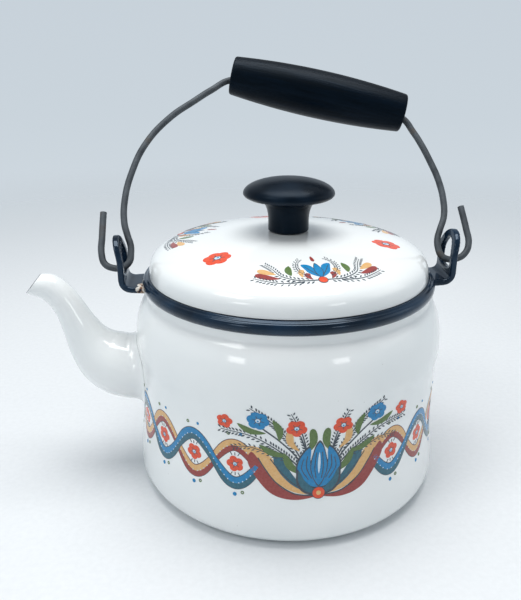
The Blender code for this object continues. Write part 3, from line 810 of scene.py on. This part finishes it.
def dot(sheet, colour, centre, radius, place, over=0):
    """A filled round spot."""
    spine, widths = [], []
    for i in range(DOT_STEPS + 1):
        angle = math.pi * i / DOT_STEPS
        spine.append(Vector((centre[0], centre[1] - radius * math.cos(angle))))
        widths.append(max(radius * math.sin(angle), 0.03))
    sheet.stroke(colour, spine, widths, place, over)


def line(sheet, points, half_width, place, over=0):
    """A dark line of even width."""
    spine = bent(points, 8)
    sheet.stroke("line", spine, [half_width] * len(spine), place, over)


def fern(sheet, points, place, length=3.2, spacing=1.35, grow=1.0):
    """A stem with rows of little dashes along both sides."""
    spine = bent(points, 9)
    count = len(spine)
    sheet.stroke("line", spine, [0.36 * (1 - 0.6 * i / count) for i in range(count)], place)
    run = 0.0
    for a, b in zip(spine, spine[1:]):
        run += (b - a).length
        if run < spacing:
            continue
        run = 0.0
        ahead = (b - a).normalized()
        across = Vector((-ahead.y, ahead.x))
        for side in (1, -1):
            start = b + across * side * 0.75 * grow
            tip = start + (ahead * 0.75 + across * side * 0.7).normalized() * length * grow * 0.6
            mid = (start + tip) / 2
            sheet.stroke("line", [start, mid, tip], [0.12, 0.42 * grow, 0.08], place)


def flower(sheet, colour, centre, radius, place, petals=5, turn=0.3):
    """Round petals about a pale eye with a dark rim."""
    for i in range(petals):
        angle = turn + math.tau * i / petals
        reach = radius * 0.56
        middle = (centre[0] + reach * math.cos(angle), centre[1] + reach * math.sin(angle))
        dot(sheet, colour, middle, radius * 0.47, place)
        line(sheet, [centre, middle], radius * 0.035, place, 1)
    dot(sheet, colour, centre, radius * 0.3, place)
    dot(sheet, "line", centre, radius * 0.29, place, 2)
    dot(sheet, "pale", centre, radius * 0.22, place, 3)
    dot(sheet, "blue", (centre[0], centre[1] - radius * 0.05), radius * 0.1, place, 4)


def ring_dot(sheet, colour, centre, place):
    """A small open ring of dots."""
    for i in range(8):
        angle = math.tau * i / 8
        dot(sheet, colour, (centre[0] + 0.7 * math.cos(angle), centre[1] + 0.7 * math.sin(angle)), 0.3, place)


# The band on the pot. u is millimetres round the wall from the middle of the pattern, v height.
BAND_RADIUS = wall_radius(50 * MM)
PATTERN_TURN = math.radians(4.5)  # where the middle of the front repeat faces, from -Y towards +X


def onto_pot(u, v, lift):
    """The place on the pot's wall of a point of the drawing."""
    angle = PATTERN_TURN + u * MM / BAND_RADIUS
    radius = wall_radius(v * MM) + lift
    return Vector((radius * math.sin(angle), -radius * math.cos(angle), v * MM))


SPREAD = 1.15  # how far the bouquet is widened


def half_bouquet(sheet, side, shift):
    """One side of a bouquet: broad curling leaves low down, then sprigs and flowers fanned above."""
    def place(p):
        return p[0] * side * SPREAD + shift, p[1]

    # Broad leaves that sweep out from the foot and roll over at their ends.
    sheet.level = 6
    outer = [(0, 33), (10, 32.5), (19, 36), (25, 44), (29, 53), (28, 59)]
    leaf(sheet, "maroon", outer, 3.7, place, 0.5, 0.72)
    inner_leaf = [(1, 34), (10, 36.5), (17.5, 43), (22, 51), (28, 59), (34, 60)]
    leaf(sheet, "tan", inner_leaf, 2.9, place, 0.2, 0.6, 1)
    leaf(sheet, "teal", [(2, 35), (8.5, 38.5), (14, 45), (18, 53), (19, 59)], 2.4, place, 0.4, 0.7, 2)
    sheet.level = 9
    line(sheet, [(2, 33.2), (11, 34.5), (19, 40.5), (24, 48), (27.5, 55)], 0.3, place)
    line(sheet, [(3, 35.5), (11, 40), (17, 47), (22, 55)], 0.28, place)
    # Sprigs and olive leaves.
    fern(sheet, [(4, 42), (12, 54), (22, 63), (32, 68), (45, 69)], place)
    fern(sheet, [(12, 54), (22, 58), (32, 61), (40, 59)], place, grow=0.9)
    fern(sheet, [(6, 50), (13, 65), (21, 76), (31, 84)], place)
    fern(sheet, [(5, 56), (8, 70), (13, 82)], place, grow=0.9)
    line(sheet, [(4, 42), (10, 56), (18, 66), (26, 73)], 0.34, place)
    line(sheet, [(3, 50), (6, 60), (8.5, 68)], 0.34, place)
    sheet.level = 10
    leaf(sheet, "olive", [(8, 46), (13, 51), (16, 59)], 1.9, place)
    leaf(sheet, "olive", [(14, 57), (21, 58.5), (27, 63)], 1.8, place)
    leaf(sheet, "olive", [(18, 66), (18, 72), (21, 78)], 1.7, place)
    leaf(sheet, "olive", [(24, 70), (31, 70.5), (37, 74)], 1.6, place)
    leaf(sheet, "olive", [(6, 58), (3, 65), (3.5, 73)], 1.8, place, 0.5, 0.7)
    leaf(sheet, "tan", [(9, 60), (13, 65), (13.5, 72)], 1.7, place, 0.5, 0.7)
    sheet.level = 11
    # Flowers at the tips: red low and near, blue at the outside.
    flower(sheet, "red", (10.5, 73.5), 4.6, place, 5, 0.9)
    flower(sheet, "blue", (27.5, 77.0), 5.0, place, 6, 0.2)
    flower(sheet, "red", (43.0, 74.0), 3.8, place, 5, 0.5)


def tulip(sheet, shift):
    """The blue tulip at the middle of a bouquet: three lapped petals in a teal cup on a red base."""
    def place(p):
        return p[0] + shift, p[1]

    for side in (1, -1):
        def beside(p, side=side):
            return p[0] * side + shift, p[1]
        sheet.level = 11
        leaf(sheet, "line", [(0, 37.2), (6.6, 43), (8.2, 52), (5.2, 62.8)], 4.0, beside, 0.25, 0.5)
        leaf(sheet, "blue", [(0.3, 38), (6.3, 43.5), (7.8, 52), (5.0, 61.8)], 3.55, beside, 0.25, 0.5, 1)
        line(sheet, [(3.6, 43), (6.6, 50), (6.2, 57)], 0.25, beside, 2)
        line(sheet, [(5.4, 42.5), (9.0, 49), (8.2, 55)], 0.22, beside, 2)
    sheet.level = 14
    leaf(sheet, "line", [(0, 38), (0, 46), (0, 55), (0, 66.0)], 4.6, place, 0.2, 0.5)
    leaf(sheet, "blue", [(0, 39), (0, 46), (0, 55), (0, 64.8)], 4.1, place, 0.2, 0.5, 1)
    leaf(sheet, "pale", [(0, 46), (0, 52), (0, 59)], 0.7, place, 0.1, 0.5, 2)
    for side in (1, -1):
        def over(p, side=side):
            return p[0] * side + shift, p[1]
        line(sheet, [(1.4, 43), (2.2, 50), (1.5, 59)], 0.24, over, 2)
        leaf(sheet, "line", [(0, 34.2), (5.4, 36.4), (9.6, 41), (11.2, 49)], 2.5, over, 0.1, 0.45, 3)
        leaf(sheet, "teal", [(0.4, 35), (5.2, 37.2), (8.9, 41.5), (10.4, 48)], 2.0, over, 0.1, 0.45, 4)
    sheet.level = 19
    dot(sheet, "line", (0, 34.6), 3.6, place)
    dot(sheet, "red", (0, 34.6), 3.2, place, 1)
    dot(sheet, "tan", (0, 34.6), 1.3, place, 2)


BEAD_SPACING = 2.5  # between the pale dots that run along a ribbon
RIBBON_HEIGHT, RIBBON_SWING = 49.0, 11.5  # the twist's middle line, and how far a ribbon leaves it
CROSSINGS, RIBBON_STEPS = 5, 120


def ribbon_run(sheet, start, end):
    """Two ribbons that cross and re-cross between two bouquets, with a flower in each loop."""
    span = end - start

    def place(p):
        return p[0], p[1]

    for k, (colour, edge, phase) in enumerate((("maroon", "tan", 0.0), ("teal", "blue", math.pi))):
        spine, widths, crest = [], [], []
        for i in range(RIBBON_STEPS + 1):
            turned_by = math.pi * CROSSINGS * i / RIBBON_STEPS
            height = RIBBON_HEIGHT + RIBBON_SWING * math.sin(turned_by + phase)
            spine.append(Vector((start + span * i / RIBBON_STEPS, height)))
            widths.append(2.2 + 1.2 * abs(math.sin(turned_by)))
        for i, (point, width) in enumerate(zip(spine, widths)):
            run = (spine[min(i + 1, RIBBON_STEPS)] - spine[max(i - 1, 0)]).normalized()
            crest.append(point + Vector((-run.y, run.x)) * width * 0.45)
        sheet.level = 4 * k
        sheet.stroke("line", spine, [width + 0.3 for width in widths], place)
        sheet.stroke(colour, spine, widths, place, 1)
        sheet.stroke(edge, crest, [width * 0.5 for width in widths], place, 2)
        run = 0.0
        for a, b in zip(spine, spine[1:]):
            run += (b - a).length
            if run > BEAD_SPACING:
                dot(sheet, "pale", a, 0.34, place, 3)
                run = 0.0
    sheet.level = 8
    for k in range(CROSSINGS):
        middle = start + span * (k + 0.5) / CROSSINGS
        flower(sheet, "red", (middle, RIBBON_HEIGHT), 4.7, place, 5, 0.4 + k)
        for side in (1, -1):
            for lean in (-1, 0, 1):
                line(sheet, [(middle + lean * 1.6, RIBBON_HEIGHT + side * 5.2),
                             (middle + lean * 2.6, RIBBON_HEIGHT + side * 6.9)], 0.2, place)
        dot(sheet, "blue", (middle, 31.0), 1.1, place)
        ring_dot(sheet, "olive", (middle + 4.2, 32.6), place)
        dot(sheet, "blue", (middle + 3.4, 67.6), 0.8, place)
        ring_dot(sheet, "olive", (middle - 3.4, 67.0), place)


REPEATS = 3
ROUND = math.tau * BAND_RADIUS / MM
WING = 33.5  # how far a bouquet reaches to each side
RIBBON_TUCK = 2  # how far the ribbons' ends run in under it
band = Print(onto_pot)
for repeat in range(REPEATS):
    shift = ROUND * repeat / REPEATS
    ribbon_run(band, shift + WING - RIBBON_TUCK, shift + ROUND / REPEATS - WING + RIBBON_TUCK)
for repeat in range(REPEATS):
    shift = ROUND * repeat / REPEATS
    for side in (1, -1):
        half_bouquet(band, side, shift)
    tulip(band, shift)
band.finish("pot_flower_band", "kettle")


# The sprays on the lid. u runs round it and v outward from the knob, both in millimetres.
SPRAY_RADIUS = 66.0
SPRAY_FOOT, SPRAY_SIZE = 69.5, 1.12  # where the drawing's foot lies on the lid, and its enlargement
DRAWN_FOOT = 76.5  # the height of the foot in the drawing itself


def onto_lid(u, v, lift):
    """The place on the lid of a point of the drawing."""
    angle = u / SPRAY_RADIUS
    radius = v * MM
    height = lid_height(radius)
    slope = (lid_height(radius + 0.1 * MM) - height) / (0.1 * MM)
    normal = Vector((-slope, 1.0)).normalized()
    radius, height = radius + normal.x * lift, height + normal.y * lift
    return Vector((radius * math.sin(angle), -radius * math.cos(angle), height))


def spray(sheet, shift):
    """A low spray: a small blue bell flower on a red ball, with leaves and ferns to both sides."""
    for side in (1, -1):
        def place(p, side=side):
            return p[0] * side * SPRAY_SIZE + shift, SPRAY_FOOT + (p[1] - DRAWN_FOOT) * SPRAY_SIZE

        sheet.level = 0
        fern(sheet, [(2, 76.5), (10, 76.5), (18, 73.5), (23, 68), (28, 64.5)], place, grow=1.0)
        fern(sheet, [(8, 77.5), (18, 78.5), (30, 76.5)], place, grow=0.9)
        fern(sheet, [(5, 74), (10, 69), (11, 62.5), (8.5, 58)], place, grow=0.85)
        leaf(sheet, "maroon", [(18.5, 75.5), (24, 75), (30, 73.5)], 1.8, place, 0.4, 0.7)
        leaf(sheet, "tan", [(20.5, 72.5), (25, 71.3), (30, 70)], 1.8, place, 0.4, 0.7)
        leaf(sheet, "olive", [(13.5, 73), (15, 69), (15, 64.5)], 1.8, place, over=1)
        leaf(sheet, "tan", [(8.5, 74.5), (9, 71), (8, 68)], 1.4, place, 0.5, 0.7)
        leaf(sheet, "maroon", [(4.5, 76), (6, 73.5), (6, 71)], 1.4, place, 0.5, 0.7)
        sheet.level = 2
        leaf(sheet, "blue", [(0.2, 74.5), (3.2, 70.5), (5.0, 66), (8.2, 63.5)], 2.4, place, 0.2, 0.6)
        line(sheet, [(0.8, 73.5), (3.6, 69.5), (6.4, 65.4)], 0.2, place, 1)

    def middle(p):
        return p[0] * SPRAY_SIZE + shift, SPRAY_FOOT + (p[1] - DRAWN_FOOT) * SPRAY_SIZE

    sheet.level = 4
    leaf(sheet, "line", [(0, 75), (0, 69), (0, 62.0)], 2.2, middle, 0.1, 0.5)
    leaf(sheet, "blue", [(0, 74.4), (0, 69), (0, 62.8)], 1.85, middle, 0.1, 0.5, 1)
    leaf(sheet, "maroon", [(0, 60.5), (0, 58), (0, 55)], 1.2, middle, 0.4, 0.35)
    sheet.level = 6
    dot(sheet, "line", (0, 76.5), 2.2, middle)
    dot(sheet, "red", (0, 76.5), 1.9, middle, 1)


lid_print = Print(onto_lid)
SPRAYS = 3
FRONT_SPRAY, BETWEEN = math.radians(8.0), math.radians(56.0)  # the first spray, and back to its flower
FLOWER_AT, FLOWER_SIZE = 57.0, 8.0
for k in range(SPRAYS):
    turn_round = FRONT_SPRAY + math.tau * k / SPRAYS
    spray(lid_print, turn_round * SPRAY_RADIUS)
    offset_round = (turn_round - BETWEEN) * SPRAY_RADIUS
    lid_print.level = 0
    flower(lid_print, "red", (offset_round, FLOWER_AT), FLOWER_SIZE, lambda p: (p[0], p[1]), 6, 0.3)
lid_print.finish("lid_flower_sprays", "lid")

# ----------------------------------------
# The room: a pale floor that fades into a pale studio, soft light and the camera.
bpy.ops.object.select_all(action="DESELECT")
bpy.ops.mesh.primitive_circle_add(vertices=96, radius=3.0, fill_type="NGON", location=(0, 0, -0.2 * MM))
floor = bpy.context.object
floor.name = "floor"
paper, tree, shader = new_finish("white_card_floor")
place = add_node(tree, "TexCoord")
grain = add_node(tree, "TexNoise", values={"Scale": 1 / (3.3 * MM)}, links={"Vector": (place, "Object")})
tone = add_node(tree, "ValToRGB", links={"Fac": (grain, "Fac")}, stops=[(0.3, "DDE0E2"), (0.7, "E1E4E6")])
away = add_node(tree, "VectorMath", {"operation": "LENGTH"}, links={0: (place, "Object")})
fade = add_node(tree, "MapRange", {"interpolation_type": "SMOOTHSTEP"}, {"From Min": 0.25, "From Max": 1.3},
                {"Value": (away, "Value")})
clear = add_node(tree, "BsdfTransparent")
blend = add_node(tree, "MixShader", links={0: (fade, 0), 1: (shader, 0), 2: (clear, 0)})
tree.links.new(tone.outputs[0], shader.inputs["Base Color"])
shader.inputs["Roughness"].default_value = 0.6
tree.links.new(blend.outputs[0], tree.nodes["Material Output"].inputs["Surface"])
floor.data.materials.append(paper)
floor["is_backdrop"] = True

world = bpy.data.worlds.new("studio")
bpy.context.scene.world = world
world.use_nodes = True
tree = world.node_tree
place = add_node(tree, "TexCoord")
split = add_node(tree, "SeparateXYZ", links={0: (place, "Generated")})
height = add_node(tree, "MapRange", values={"From Min": -1.0, "From Max": 1.0}, links={"Value": (split, "Z")})
tone = add_node(tree, "ValToRGB", links={"Fac": (height, 0)}, stops=[
    (0.0, "DCE1E4"), (0.36, "D2DBE2"), (0.46, "CAD4DC"), (0.6, "C6D0D9"), (0.72, "A2A9B0"), (1.0, "9CA2A8")])
# The room is dimmer behind the camera than round the table.
behind = add_node(tree, "VectorMath", {"operation": "DOT_PRODUCT"}, {1: (0.1, -1.0, 0.1)},
                  {0: (place, "Generated")})
dim = add_node(tree, "MapRange", values={"From Min": 0.25, "From Max": 0.95, "To Min": 1.0, "To Max": 0.72},
               links={"Value": (behind, "Value")})
tree.links.new(tone.outputs[0], tree.nodes["Background"].inputs["Color"])
tree.links.new(dim.outputs[0], tree.nodes["Background"].inputs["Strength"])

LIGHTS = (
    # name, place, aimed at, size, watts
    ("window_key", (-0.8, -0.5, 1.05), (0, 0, 0.08), 0.55, 2.8),
    ("window_left", (-0.95, -1.1, 0.42), (0, 0, 0.1), 0.3, 0.75),
    ("window_right", (0.75, -1.25, 0.44), (0, 0, 0.1), 0.3, 0.65),
    ("ceiling_fill", (0.0, 0.05, 1.2), (0, 0, 0.08), 1.0, 12.6),
    ("side_fill", (1.0, -0.2, 0.55), (0, 0, 0.1), 0.7, 0.7),
)
for name, spot, aim, size, watts in LIGHTS:
    lamp = bpy.data.lights.new(name, "AREA")
    lamp.shape = "RECTANGLE"
    lamp.size, lamp.size_y = size, size * 0.7
    lamp.energy = watts
    lamp.color = (1.0, 0.995, 0.985)
    holder = bpy.data.objects.new(name, lamp)
    bpy.context.scene.collection.objects.link(holder)
    holder.location = spot
    holder.rotation_euler = (Vector(aim) - Vector(spot)).to_track_quat("-Z", "Y").to_euler()

CAMERA_PLACE, CAMERA_TOWARD = (-0.0444, -0.3723, 0.2488), (0.0701, 0.9338, -0.3509)
LENS = 39.13  # mm, on a frame 36 mm high
bpy.ops.object.camera_add(location=CAMERA_PLACE)
camera = bpy.context.object
camera.data.sensor_fit = "VERTICAL"
camera.data.sensor_height = 36.0
camera.data.lens = LENS
camera.rotation_euler = Vector(CAMERA_TOWARD).to_track_quat("-Z", "Y").to_euler()
camera.data.clip_start, camera.data.clip_end = 0.01, 20.0
bpy.context.scene.camera = camera
bpy.context.scene.view_settings.view_transform = "Standard"

low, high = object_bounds()
